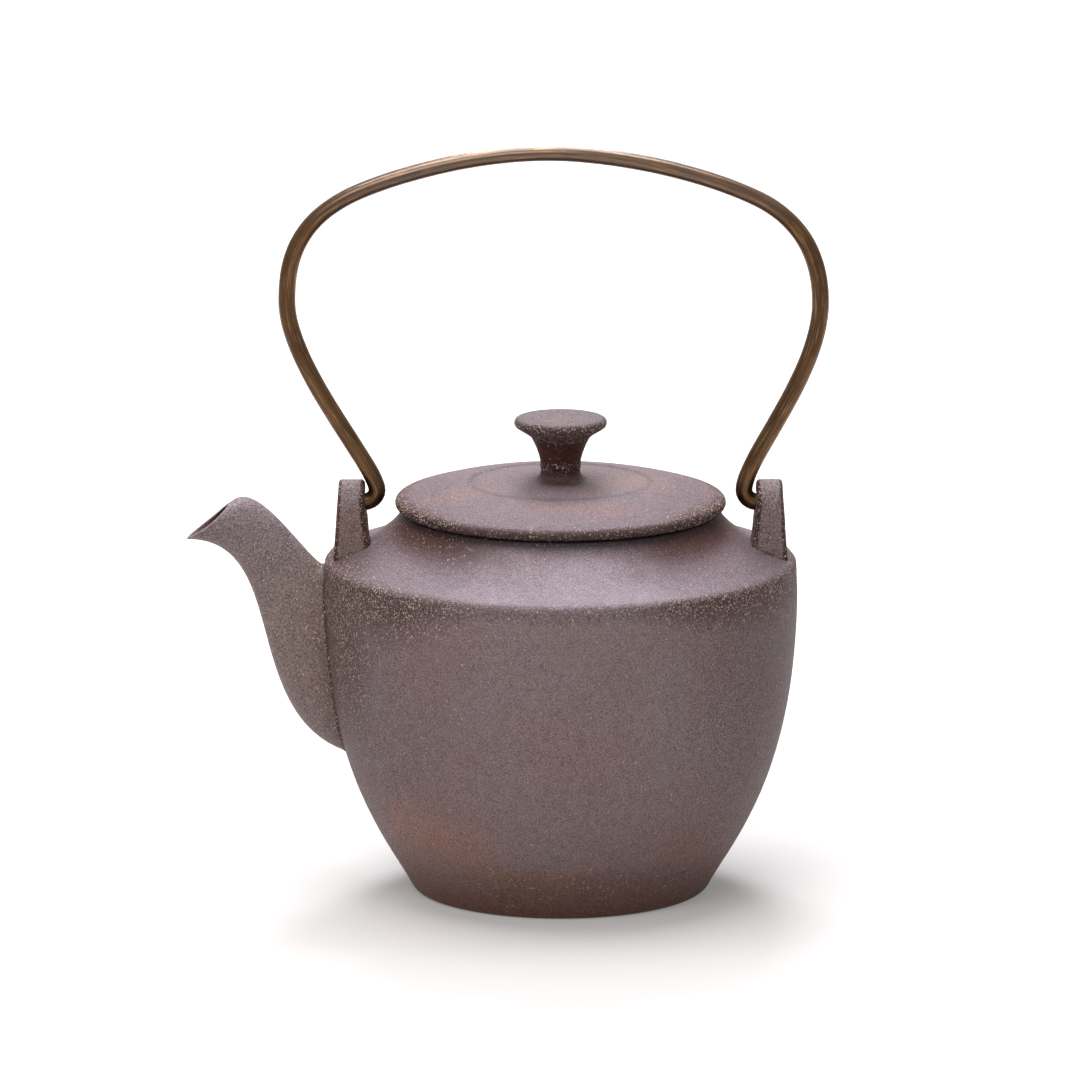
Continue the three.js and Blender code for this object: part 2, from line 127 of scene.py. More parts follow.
def offset(line, distance):
    """The line moved to its left."""
    run = np.empty_like(line)
    run[1:-1] = line[2:] - line[:-2]
    run[0], run[-1] = line[1] - line[0], line[-1] - line[-2]
    run /= np.linalg.norm(run, axis=1)[:, None]
    return line + distance * np.stack([-run[:, 1], run[:, 0]], 1)


def lengths(line):
    """How far along the polyline each of its points is."""
    return np.concatenate([[0], np.cumsum(np.linalg.norm(np.diff(line, axis=0), axis=1))])


def even(line, spacing):
    """The same polyline with points at an even spacing."""
    line = np.asarray(line, float)
    step = np.linalg.norm(np.diff(line, axis=0), axis=1)
    line = line[np.concatenate([[True], step > TINY])]
    s = lengths(line)
    n = max(2, int(round(s[-1] / spacing)) + 1)
    at = np.linspace(0, s[-1], n)
    return np.stack([np.interp(at, s, line[:, k]) for k in range(line.shape[1])], 1)


def along(line):
    """The line as a function of its share of length."""
    s = lengths(line)
    return lambda t: np.stack([np.interp(t * s[-1], s, line[:, k]) for k in (0, 1)], -1)


def smooth(x):
    """0 below 0, 1 above 1 and a soft step between them."""
    x = np.clip(x, 0, 1)
    return x * x * (3 - 2 * x)


def rising(x, start, width):
    """0 up to the start, and 1 from a width past it."""
    return smooth((x - start) / width)


def falling(x, end, width):
    """1 until a width before the end, and 0 past it."""
    return smooth((end - x) / width)


def bell(x, centre, width):
    """1 at the centre, and next to nothing two widths from it."""
    return np.exp(-((x - centre) / width) ** 2)


# ---------------------------------------------------------------- meshes
def shade_smooth(mesh, sharp):
    """Smooth shading, but for edges sharper than that angle in degrees."""
    mesh.polygons.foreach_set("use_smooth", [True] * len(mesh.polygons))
    mesh.set_sharp_from_angle(angle=math.radians(sharp))


def mesh_object(name, vertices, faces, sharp=SHARP):
    mesh = bpy.data.meshes.new(name)
    mesh.from_pydata([tuple(v) for v in np.asarray(vertices) * MM], [], faces)
    mesh.validate()
    work = bmesh.new()
    work.from_mesh(mesh)
    bmesh.ops.recalc_face_normals(work, faces=work.faces)
    work.to_mesh(mesh)
    work.free()
    shade_smooth(mesh, sharp)
    thing = bpy.data.objects.new(name, mesh)
    bpy.context.scene.collection.objects.link(thing)
    return thing


def grid_faces(rows, sides, looped):
    """Quads between closed rows of points. Looped joins the last row to the first."""
    faces = []
    for row in range(rows if looped else rows - 1):
        a, b = row * sides, (row + 1) % rows * sides
        for side in range(sides):
            nxt = (side + 1) % sides
            faces.append((a + side, a + nxt, b + nxt, b + side))
    return faces


def lathe(profile, sides, wobble=None):
    """A turned surface through (radius, height) points that start and end on the axis,
    or that meet. The wobble gives every point's shift in radius and height."""
    profile = np.asarray(profile, float)
    on_axis = profile[:, 0] < TINY
    ring = profile[~on_axis]
    turn = full_turn(sides)
    r = np.repeat(ring[:, :1], sides, 1)
    z = np.repeat(ring[:, 1:], sides, 1)
    if wobble:
        dr, dz = wobble(r, z, turn)
        r, z = r + dr, z + dz
    vertices = list(np.stack([r * np.cos(turn), r * np.sin(turn), z], 2).reshape(-1, 3))
    faces = grid_faces(len(ring), sides, not on_axis.any())
    for end, row in ((0, 0), (-1, len(ring) - 1)):
        if on_axis[end]:
            vertices.append((0, 0, profile[end, 1]))
            hub, first = len(vertices) - 1, row * sides
            faces += [(hub, first + s, first + (s + 1) % sides) for s in range(sides)]
    return vertices, faces


def places(thing):
    """The thing's vertices in millimetres."""
    flat = np.empty(len(thing.data.vertices) * 3)
    thing.data.vertices.foreach_get("co", flat)
    return flat.reshape(-1, 3) / MM


def paint(thing, name, values):
    """Keeps one number a vertex, from 0 to 1, for the material to read."""
    layer = thing.data.attributes.new(name, "FLOAT", "POINT")
    layer.data.foreach_set("value", np.clip(values, 0, 1).astype(np.float32))


def cut(thing, cutter):
    """Takes the cutter's volume out of the thing, and the cutter out of the scene."""
    step = thing.modifiers.new("cut", "BOOLEAN")
    step.operation, step.object, step.solver = "DIFFERENCE", cutter, "EXACT"
    bpy.context.view_layer.update()
    done = thing.evaluated_get(bpy.context.evaluated_depsgraph_get())
    mesh = bpy.data.meshes.new_from_object(done)
    thing.modifiers.clear()
    thing.data = mesh
    shade_smooth(mesh, SHARP)
    bpy.data.objects.remove(cutter)


def elliptic_rod(centre, axis, half_a, half_b, length, sides=64):
    """A closed elliptic cylinder along X or Z, to cut with."""
    turn = full_turn(sides)
    ends = []
    for s in (-0.5, 0.5):
        a, b, c = half_a * np.cos(turn), half_b * np.sin(turn), np.full(sides, s * length)
        ring = (c, a, b) if axis == "X" else (a, b, c)
        ends.append(np.stack(ring, 1) + np.asarray(centre))
    faces = grid_faces(2, sides, False) + [tuple(range(sides))[::-1],
                                           tuple(range(sides, 2 * sides))]
    return mesh_object("cutter", np.concatenate(ends), faces)


def drift(points, scale, seed):
    """Smooth noise from -1 to 1 at each point, given in millimetres."""
    shift = Vector((seed * 17.3, seed * 5.1, seed * 9.7))  # each seed's own region
    return np.array([noise.noise(Vector(p) / scale + shift) for p in points])


# ---------------------------------------------------------------- the pot
def wall_line(n):
    start = (FOOT_R + FOOT_BEVEL, FOOT_BEVEL)
    return bezier(start, away(start, FOOT_CURVE, WALL_LEAN),
                  (BELLY_R, BELLY_Z - BELLY_CURVE), (BELLY_R, BELLY_Z), n)


def shoulder_line(n):
    start = away((EDGE_R - EDGE_ROUND, EDGE_Z), EDGE_ROUND, 90 - SHOULDER_SLOPE)
    end = (NECK_R, RIM_Z - RIM_ROUND)
    return bezier(start, away(start, SHOULDER_CURVE, 180 - SHOULDER_SLOPE),
                  away(end, NECK_CURVE, -NECK_LEAN), end, n)


def outer_line():
    """The outside from the foot to the neck."""
    edge = arc((EDGE_R - EDGE_ROUND, EDGE_Z), EDGE_ROUND, 0, 90 - SHOULDER_SLOPE, 10)
    return np.concatenate([wall_line(WALL_STEPS), edge, shoulder_line(SHOULDER_STEPS)[1:]])


OUTER = outer_line()


def wall_radius(z):
    """The pot's outer radius at a height below its shoulder's edge."""
    line = OUTER[OUTER[:, 1] <= EDGE_Z + 0.01]
    return np.interp(z, line[:, 1], line[:, 0])


def shoulder_height(r):
    """The height of the pot's outside at a radius between its neck and its edge."""
    line = OUTER[OUTER[:, 1] > EDGE_Z][::-1]
    return np.interp(r, line[:, 0], line[:, 1])


def inner_line():
    """The inside from the floor to the land of the mouth: the outside moved inward."""
    wall = offset(wall_line(WALL_STEPS), WALL)
    wall = wall[wall[:, 1] > FLOOR + FLOOR_FILLET]
    corner = wall[0]
    under = bezier((corner[0] - 2 * FLOOR_FILLET, FLOOR), (corner[0] - FLOOR_FILLET, FLOOR),
                   (corner[0] - 1, corner[1] - 3), corner, 8)
    shoulder = offset(shoulder_line(SHOULDER_STEPS), WALL)
    keep = ((shoulder[:, 0] < EDGE_R - EDGE_ROUND - WALL)
            & (shoulder[:, 1] < RIM_Z - MOUTH_LAND))
    return np.concatenate([under, wall[1:], shoulder[keep]])


def turned_marks(r, z, turn):
    """Faint throwing rings and a slight drift of the wall, always inward. The drift is
    worked out at every sixth row and every eighth side, and mixed between them."""
    row_step, side_step = 6, 8
    ring_pitch, drift_pitch = 1.7, 45.0
    ring_depth, drift_depth = 0.035, 0.08
    ring = np.array([noise.noise(Vector((0.3, 7.0, v / ring_pitch))) for v in z[:, 0]])
    slow = np.array([[noise.noise(Vector((math.cos(a), math.sin(a), v / drift_pitch)))
                      for a in turn[::side_step]] for v in z[::row_step, 0]])
    count = np.arange(len(z))
    rows = np.interp(count, count[::row_step], np.arange(len(slow)))
    low = np.floor(rows).astype(int)
    high = np.minimum(low + 1, len(slow) - 1)
    mix = (rows - low)[:, None]
    slow = slow[low] * (1 - mix) + slow[high] * mix
    around = np.arange(len(turn)) / side_step
    cols = np.arange(slow.shape[1] + 1)
    slow = np.array([np.interp(around, cols, np.append(row, row[0])) for row in slow])
    dr = -ring_depth * (1 + ring[:, None]) - drift_depth * (1 + slow)
    return dr * rising(r, 30, 8), np.zeros_like(z)


def make_pot():
    """The turned pot with its opening behind the spout."""
    recess = [(0, 0.9), (20, 0.85), (FOOT_R - 7, 0.7), (FOOT_R - 5.2, 0.0)]
    foot = bezier((FOOT_R - 1.2, 0), (FOOT_R + 0.3, 0), (FOOT_R + 1.25, 0.6), OUTER[0], 10)
    outside = even(OUTER, 1.15)
    rim = arc((NECK_R - RIM_ROUND, RIM_Z - RIM_ROUND), RIM_ROUND, 0, 90, 8)
    land = arc((MOUTH_R + LAND_ROUND, RIM_Z - LAND_ROUND), LAND_ROUND, 90, 180, 5)
    inside = even(inner_line()[::-1], 2.2)
    profile = np.concatenate([
        recess, foot, outside[1:], rim[1:], land, [(MOUTH_R, RIM_Z - MOUTH_LAND / 2)],
        inside, [(18, FLOOR), (0, FLOOR)],
    ])
    pot = mesh_object("pot_shell", *lathe(profile, LATHE_SIDES, turned_marks))
    cut(pot, elliptic_rod((-BELLY_R, 0, OPENING_Z), "X", OPENING_HALF_Y, OPENING_HALF_Z,
                          28))
    paint_pot(pot)
    return pot


def paint_pot(pot):
    """More grog under the shoulder's edge, beside the spout and low on the wall, red where
    the fire reached, a dark red under the lid's sides that is partly its colour and partly
    painted shade, and painted shade along the spout's seam and under the lid."""
    p = places(pot)
    x, y, z = p.T
    r = np.hypot(x, y)
    depth = 4.5 + 13 * rising(-x, 18, 32) + 7 * rising(x, 12, 40)
    below = smooth(1 - (EDGE_Z - z) / depth)
    above = smooth(1 - (EDGE_R - r) / (2.5 + 3 * rising(-x, 20, 30)))
    edge = np.where(z < EDGE_Z, below, above) * (0.38 + 0.62 * rising(np.abs(x), 15, 28))
    beside = rising(-x, 46.5, 9) * (0.2 + 0.8 * rising(z, 36, 34))
    close = rising(-x, 53.5, 5) * rising(z, 38, 32)
    neck = 0.12 * rising(z, 90, 6) * rising(-x, 12, 22)
    low = 0.22 * bell(z, 10, 4) * rising(x, -26, 14)
    patchy = 1 + 0.5 * drift(p, 7.0, 3)
    paint(pot, "grit", np.maximum.reduce([edge, beside, close, neck, low]) * patchy)
    paint(pot, "sand", np.maximum(0.7 * rising(np.abs(x + 2), 26, 24), edge))
    fired = np.maximum(beside, edge * rising(np.abs(x + 6), 18, 25)) * (z < 87)
    # under the lid's sides: partly the clay's own dark red, partly painted shade
    collar_red_and_shade = rising(z, 91.5, 6) * rising(np.abs(x), 12, 20)
    paint(pot, "red_and_shade", np.maximum.reduce([0.5 * fired, 0.6 * close, 0.85 * collar_red_and_shade]))
    # painted shade along the spout's seam and in the gap under the lid
    seam = smooth(1.15 - seam_distance(p) / 1.3)
    under_lid_shade = 0.95 * rising(z, 98.2, 1.3) * (r > 40)
    paint(pot, "painted_shade", np.maximum(seam, under_lid_shade))


# ---------------------------------------------------------------- the spout
def spout_guides(n=400):
    """The spout's lower and upper outlines in the plane through the pot's axis."""
    heel = (ROOT_DEPTH - BELLY_R, ROOT_BOTTOM)
    low = bezier(heel, away(heel, HEEL_CURVE, 180 - HEEL_SLOPE), away(TIP, LIP_CURVE, 0),
                 TIP, n)
    throat = (-BELLY_R - SEAM, EDGE_Z - ROOT_DROP)
    crest = away(TIP, MOUTH_LENGTH, MOUTH_SLOPE)
    start = away(throat, ROOT_DEPTH / 2, -THROAT_SLOPE)
    high = np.concatenate([
        np.linspace(start, throat, n // 4),
        bezier(throat, away(throat, THROAT_CURVE, 180 - THROAT_SLOPE),
               away(crest, CREST_CURVE, CREST_SLOPE), crest, n)[1:]])
    return along(low), along(high)


LOW, HIGH = spout_guides()


def outlines(t):
    """The points of both outlines that section t joins. The upper one lags."""
    return LOW(t), HIGH(SPOUT_LAG * t + (1 - SPOUT_LAG) * t ** 5)


def spout_point(t, turn, inset_share, shrink=0.0):
    """Points of the spout's section t at angles turn, outside (inset share 0) or in the
    bore (1), and moved inward by shrink."""
    low, high = outlines(t)
    wall = inset_share * (SPOUT_WALL_ROOT * (1 - t) + SPOUT_WALL_LIP * t) + shrink
    across = high - low
    length = np.linalg.norm(across, axis=-1)
    unit = across / length[..., None]
    middle = (high + low) / 2
    reach = length / 2 - wall
    width = ROOT_HALF + (MOUTH_HALF - ROOT_HALF) * smooth(t) - wall
    dip = MOUTH_DIP * t ** 4 * np.sin(turn) ** 2
    x = middle[..., 0] + unit[..., 0] * reach * np.cos(turn) + unit[..., 1] * dip
    z = middle[..., 1] + unit[..., 1] * reach * np.cos(turn) - unit[..., 0] * dip
    return np.stack([x, width * np.sin(turn), z], -1)


def depth_in_wall(p):
    """How far a point is outside the pot's wall: negative inside it."""
    return np.hypot(p[..., 0], p[..., 1]) - wall_radius(p[..., 2])


def root_start(turn, inset_share, sink):
    """The section at which each side line of the spout comes out of the wall."""
    t = np.linspace(0, 0.6, 1201)
    starts = []
    for angle in turn:
        d = depth_in_wall(spout_point(t, np.full_like(t, angle), inset_share))
        inside = np.nonzero(d < -sink)[0]
        starts.append(t[inside[-1]] if len(inside) else 0.0)
    return np.array(starts)


def seam_distance(points):
    """How far each point near the spout is from the line where it meets the wall."""
    turn = full_turn(240)
    seam = spout_point(root_start(turn, 0, 0), turn, 0)
    far = np.full(len(points), 99.0)
    close = np.nonzero(points[:, 0] < -35)[0]
    gaps = points[close, None, :] - seam[None]
    far[close] = np.sqrt((gaps ** 2).sum(2).min(1))
    return far


def spout_outside(turn, share):
    """Rows of the outer skin from root to mouth, smeared on to the wall at the root."""
    start = root_start(turn, 0, SINK)
    rows = []
    for s in share:
        t = start + (1 - start) * s
        p = spout_point(t, turn, 0)
        d = depth_in_wall(p)
        middle = sum(outlines(t)) / 2
        out = p - np.stack([middle[:, 0], np.zeros(SPOUT_SIDES), middle[:, 1]], 1)
        out /= np.linalg.norm(out, axis=1)[:, None]
        flare = 0.22 * np.clip(1 - (d - 0.1) / 0.6, 0, 1.3) ** 2
        rough = 0.8 + 0.9 * drift(p, 2.4, 4)
        fold = 1.3 * np.exp(-((p[:, 2] - FOLD[2]) / 1.4) ** 2
                            - ((p[:, 1] - FOLD[1]) / 1.6) ** 2 - ((d - 1.2) / 0.9) ** 2)
        rows.append(p + out * (flare * rough + fold)[:, None])
    return rows


def make_spout():
    turn = full_turn(SPOUT_SIDES)
    share = np.concatenate([np.linspace(0, 0.08, 12), np.linspace(0.08, 1, 84)[1:]])
    rows = spout_outside(turn, share)
    # the rounded lip, as how far each row stands out of the mouth and how far inward
    lip = [(0.1, 0.06), (0.2, 0.2), (0.26, 0.42), (0.26, 0.8), (0.18, 1.1), (0.0, 1.3)]
    slope = math.radians(MOUTH_SLOPE)
    facing = np.array([-math.sin(slope), 0, math.cos(slope)])
    for out, inset in lip:
        rows.append(spout_point(np.ones(SPOUT_SIDES), turn, 0, inset) + facing * out)
    start = root_start(turn, 1, SINK)
    for s in np.linspace(1, 0, 60):
        rows.append(spout_point(start + (1 - start) * s, turn, 1))
    grid = np.concatenate(rows)
    grid += np.stack([0.05 * drift(grid, 9.0, 5 + k) for k in range(3)], 1)
    grid[:, 0] = np.maximum(grid[:, 0], TIP[0])  # no further out than the solid's tip
    spout = mesh_object("spout_shell", grid, grid_faces(len(rows), SPOUT_SIDES, True))

    p = places(spout)
    near = seam_distance(p)
    tip = smooth(1 - np.hypot(p[:, 0] - TIP[0], p[:, 2] - TIP[1]) / 20)
    grit = np.maximum.reduce([0.5 * smooth(1 - near / 8), 0.3 * tip, np.full(len(p), 0.16)])
    inside = np.repeat(np.arange(len(rows)) > len(share) + len(lip) - 2, SPOUT_SIDES)
    paint(spout, "grit", grit * (0.9 + 0.8 * drift(p, 6.0, 8)) * ~inside)
    paint(spout, "sand", 0.4 * ~inside)
    paint(spout, "red_and_shade", 0.95 * inside)
    # painted shade along the seam with the wall and round the small fold
    fold_shade = 0.7 * bell(np.linalg.norm(p - FOLD, axis=1), 1.5, 0.4)
    paint(spout, "painted_shade", np.maximum(smooth(1.3 - near / 0.6), fold_shade))
    return spout


# ---------------------------------------------------------------- lugs
def arch_reach(angle):
    """How far the lug's outline, an arch on a spreading foot, is from the hole's middle."""
    drop = np.maximum(-np.sin(angle), TINY)
    aside = np.abs(np.cos(angle))
    flare = (LUG_FOOT - LUG_ARCH) / PIVOT_RISE
    side = LUG_ARCH / np.maximum(aside - flare * drop, TINY)
    return np.where(np.sin(angle) >= 0, LUG_ARCH, np.minimum(LUG_DROP / drop, side))


def lug_ring(reach, share, angle):
    """Points at a reach from the hole's middle, on the inner face (0) to the outer (1)."""
    across, rise = reach * np.cos(angle), reach * np.sin(angle)
    dome = LUG_DOME * np.clip(1 + rise / PIVOT_RISE, 0, 1) * (across / LUG_ARCH) ** 2
    inner = LUG_IN + dome + rise * math.tan(math.radians(LUG_LEAN_IN))
    outer = LUG_IN + LUG_THICK - rise * math.tan(math.radians(LUG_LEAN_OUT))
    return np.stack([-(inner + (outer - inner) * share), across, PIVOT_Z + rise], 1)


def make_lug(name, side, seed):
    """A lug in front of the pot (side -1) or behind it (1)."""
    angle = full_turn(144)
    arch = arch_reach(angle)
    lip = LUG_ROUND / LUG_THICK
    corner = [(1 - math.sin(a), 1 - math.cos(a)) for a in np.radians(np.linspace(0, 90, 7))]
    first, last = LUG_HOLE + LUG_ROUND, arch - LUG_ROUND
    face = [(LUG_HOLE + LUG_ROUND * b, lip * a) for a, b in corner]
    face += [(first + (last - first) * f, 0.0) for f in np.linspace(0, 1, 8)[1:-1]]
    face += [(arch - LUG_ROUND * b, lip * a) for a, b in corner[::-1]]
    through = np.linspace(0, 1, 6)[1:-1]
    outside = [(arch, lip + (1 - 2 * lip) * f) for f in through]
    hole = [(LUG_HOLE, 1 - lip - (1 - 2 * lip) * f) for f in through]
    ring = face + outside + [(r, 1 - s) for r, s in face[::-1]] + hole
    grid = np.concatenate([lug_ring(r, s, angle) for r, s in ring])
    grid += np.stack([0.1 * drift(grid, 5.5, seed + k) + 0.05 * drift(grid, 1.2, seed + k)
                      for k in range(3)], 1)
    # the foot spreads a little where it is smeared on to the shoulder
    above = grid[:, 2] - shoulder_height(np.hypot(grid[:, 0], grid[:, 1]))
    spread = 0.3 * np.clip(1 - above / 0.7, 0, 1.2) ** 2
    out = grid[:, :2] - np.array([-(LUG_IN + LUG_THICK / 2), 0])
    out /= np.maximum(np.linalg.norm(out, axis=1), TINY)[:, None]
    grid[:, :2] += out * spread[:, None]
    sunk = shoulder_height(np.hypot(grid[:, 0], grid[:, 1])) - SINK
    grid[:, 2] = np.maximum(grid[:, 2], sunk)
    if side > 0:
        grid[:, :2] *= -1
    lug = mesh_object(name, grid, grid_faces(len(ring), len(angle), True), sharp=60)

    rounded = np.array([s < 0.99 * lip or s > 1 - 0.99 * lip for _, s in ring])
    outer = np.array([np.mean(r) > 0.8 * LUG_ARCH for r, _ in ring])
    row_grit = np.where(rounded & outer, 1.0, np.where(outer, 0.16, 0.3))
    patchy = 0.9 + 0.5 * drift(grid, 3.0, seed)
    paint(lug, "grit", np.repeat(row_grit, len(angle)) * patchy)
    paint(lug, "sand", np.full(len(grid), 0.4))
    # painted shade, dark red, along the rounded outer edges, and painted shade where the
    # foot meets the shoulder
    paint(lug, "red_and_shade", np.repeat(0.85 * (rounded & outer), len(angle)))
    paint(lug, "painted_shade", smooth(1 - above / 0.7))
    return lug


# ---------------------------------------------------------------- the lid
def make_lid_disc():
    """The domed disc with its ring and its steam vent."""
    half = LID_EDGE / 2
    edge = arc((LID_R - half, LID_SEAT + half), half, -90, 75, 20)
    start = edge[-1]
    ring_z, pad_z = LID_SEAT + RING_RISE, LID_SEAT + CROWN_RISE
    knee = np.array([(start[0] + RING_R) / 2, ring_z - 1])
    sweep = bezier(start, start + (knee - start) * 2 / 3,
                   (RING_R + (knee[0] - RING_R) * 2 / 3, ring_z - 2 / 3),
                   (RING_R + 0.9, ring_z - 0.04), 30)
    ridge = [(RING_R + dr, ring_z + dz) for dr, dz in RIDGE]
    inner = bezier(ridge[-1], (RING_R - 7, ring_z + 0.12), (PAD_R + 6, pad_z - 0.1),
                   (PAD_R, pad_z - 0.02), 16)
    under = [(0, pad_z - LID_WALL), (FLANGE_BORE / 2, pad_z - LID_WALL),
             (FLANGE_BORE - 3, LID_SEAT + 0.9), (FLANGE_BORE, LID_SEAT + 0.02)]
    profile = np.concatenate([under[:1], even(under, 2.5)[1:], edge, sweep[1:], ridge,
                              inner[1:], [(0, pad_z - 0.02)]])

    def wobble(r, z, turn):
        ring = np.array([noise.noise(Vector((v / 1.3, 3.0, 1.0))) for v in r[:, 0]])
        dz = -0.03 * (1 + ring[:, None]) - 0.05 * (1 + np.sin(2 * turn + 0.6))[None, :]
        return np.zeros_like(r), dz * smooth((z - LID_SEAT - 1) / 2) * rising(r, 9, 6)

    disc = mesh_object("lid_shell", *lathe(profile, LATHE_SIDES, wobble))
    cut(disc, elliptic_rod((0, VENT_Y, LID_SEAT + 5), "Z", VENT_R, VENT_R, 16, 32))
    paint_lid_disc(disc)
    return disc


def paint_lid_disc(disc):
    """More grog and a darker red on the rim's ends, and painted shade round the knob's
    foot, in the ring's groove, low on the rim and under it.
    """
    p = places(disc)
    x, y, z = p.T
    r = np.hypot(x, y)
    ends = rising(np.abs(x), 22, 14)
    rim = rising(r, 38.5, 3.5) * np.maximum(
        0.95 * ends, 0.12 + 0.36 * falling(z, LID_SEAT + 2.9, 1.4))
    ring = 0.3 * bell(r, RING_R, 1.0) * (y < 0)
    paint(disc, "grit", np.maximum(rim, ring) * (1 + 0.5 * drift(p, 6.0, 12)))
    paint(disc, "sand", 0.3 + 0.6 * ends)
    # red on the rim's ends, and a reddish painted shade round the knob's foot
    paint(disc, "red_and_shade", np.maximum(0.5 * falling(r, 10.5, 4), 0.85 * rim * ends))
    front = rising(-y, 0, 20)
    # painted shade in the ring's groove, low on the rim and under it
    groove = (0.4 + 0.2 * front) * (z > 105) * bell(
        r, RING_R - 0.75 - 0.45 * front, 0.45 + 0.9 * front)
    under = 0.9 * falling(z, LID_SEAT + 1.0, 0.8)
    shade = falling(z, LID_SEAT + 3.3, 1.6) * rising(r, 39, 2) * (0.3 + 0.5 * ends)
    paint(disc, "painted_shade", np.maximum.reduce([groove, under, shade]))


def make_lid_flange():
    low = LID_SEAT - FLANGE_DEPTH + FLANGE_ROUND
    profile = np.concatenate([
        [(FLANGE_BORE, LID_SEAT), (FLANGE_BORE, LID_SEAT - 3)],
        arc((FLANGE_BORE + FLANGE_ROUND, low), FLANGE_ROUND, 180, 270, 8),
        arc((FLANGE_R - FLANGE_ROUND, low), FLANGE_ROUND, 270, 360, 8),
        [(FLANGE_R, LID_SEAT - 3), (FLANGE_R, LID_SEAT)],
    ])
    return mesh_object("lid_ring", *lathe(profile, 160))


def knob_height(z):
    """The height above the pad that the knob stands on."""
    return z - LID_SEAT - CROWN_RISE


def make_knob():
    rim = KNOB_RIM / 2
    rim_r, rim_z = KNOB_R - rim, KNOB_RISE - KNOB_CROWN - rim
    waist = (KNOB_WAIST, KNOB_WAIST_Z)
    skirt = [(0, -0.1), (KNOB_FOOT + 0.9, -0.12)]
    foot = bezier((KNOB_FOOT + 0.95, -0.05), (KNOB_FOOT - 0.3, 0.02),
                  (KNOB_WAIST + 0.1, 0.7), waist, 22)
    stem = bezier(waist, (KNOB_WAIST, 5.6), (6.3, 8.5), (7.4, 10.7), 26)
    under = bezier(stem[-1], (7.95, 11.8), (9.6, 12.5),
                   (rim_r + rim / 2, rim_z - rim * 0.87), 18)
    cap = arc((rim_r, rim_z), rim, -60, 90, 18)
    top = bezier(cap[-1], (rim_r - 4, KNOB_RISE - KNOB_CROWN + 0.15), (4, KNOB_RISE),
                 (0.6, KNOB_RISE), 14)
    profile = np.concatenate([skirt, foot, stem[1:], under[1:], cap[1:], top[1:],
                              [(0, KNOB_RISE)]])
    profile[:, 1] += LID_SEAT + CROWN_RISE

    def wobble(r, z, turn):
        rise = knob_height(z)
        lines = np.array([noise.noise(Vector((2.0, 1.0, v / 0.42))) for v in rise[:, 0]])
        on_stem = rising(rise, 2, 1.5) * falling(rise, 11, 2)
        dr = 0.07 * lines[:, None] * on_stem + 0.2 * bell(rise, 3.7, 0.8)
        return dr, np.zeros_like(z)

    knob = mesh_object("knob_turned", *lathe(profile, 128, wobble))
    p = places(knob)
    rise = knob_height(p[:, 2])
    cap = rising(rise, 10.3, 0.6)
    rim = cap * falling(rise, KNOB_RISE - 0.2, 1.2)
    paint(knob, "grit", np.maximum(rim, rising(rise, 2.3, 0.5) * falling(rise, 5.2, 0.9)))
    paint(knob, "sand", 0.5 * cap + 0.3)
    # the stem's dark red is partly its colour and partly painted shade under the cap;
    # painted shade at the foot and just under the cap
    stem_red_and_shade = (0.5 + 0.5 * rising(rise, 2.0, 1.0)) * (1 - cap)
    paint(knob, "red_and_shade", np.maximum(stem_red_and_shade, 0.35 * rim))
    foot_shade = 0.6 * bell(rise, 1.9, 0.45) * (np.hypot(p[:, 0], p[:, 1]) < 7)
    paint(knob, "painted_shade", np.maximum(foot_shade, 0.5 * bell(rise, 10.4, 0.35)))
    return knob


# ---------------------------------------------------------------- the bail
def bail_half(side, arm, corner, crown):
    """The rod's middle line from its end in one lug to the top of the crown."""
    def at(x, z):
        return (side * x, PIVOT_Z + z)

    def lean(p, length, angle):
        return away(p, length, angle if side > 0 else 180 - angle)

    bend_start, bend_end = at(HOOK_X + HOOK_BEND, 0), at(HOOK_X, HOOK_BEND)
    widest = at(arm[0], arm[1])
    turn = at(corner[0], BAIL_RISE - corner[1])
    top = (CROWN_X, PIVOT_Z + BAIL_RISE)
    b = 0.55 * HOOK_BEND  # makes the cubic a quarter circle
    return np.concatenate([
        np.linspace(at(HOOK_END, 0), bend_start, 12),
        bezier(bend_start, at(HOOK_X + b, 0), at(HOOK_X, HOOK_BEND - b), bend_end, 24)[1:],
        bezier(bend_end, lean(bend_end, arm[2], 90), lean(widest, arm[3], -90), widest,
               120)[1:],
        bezier(widest, lean(widest, corner[3], 90), lean(turn, corner[4], -corner[2]),
               turn, 80)[1:],
        bezier(turn, lean(turn, crown[0], 180 - corner[2]), lean(top, crown[1], 0), top,
               80)[1:],
    ])


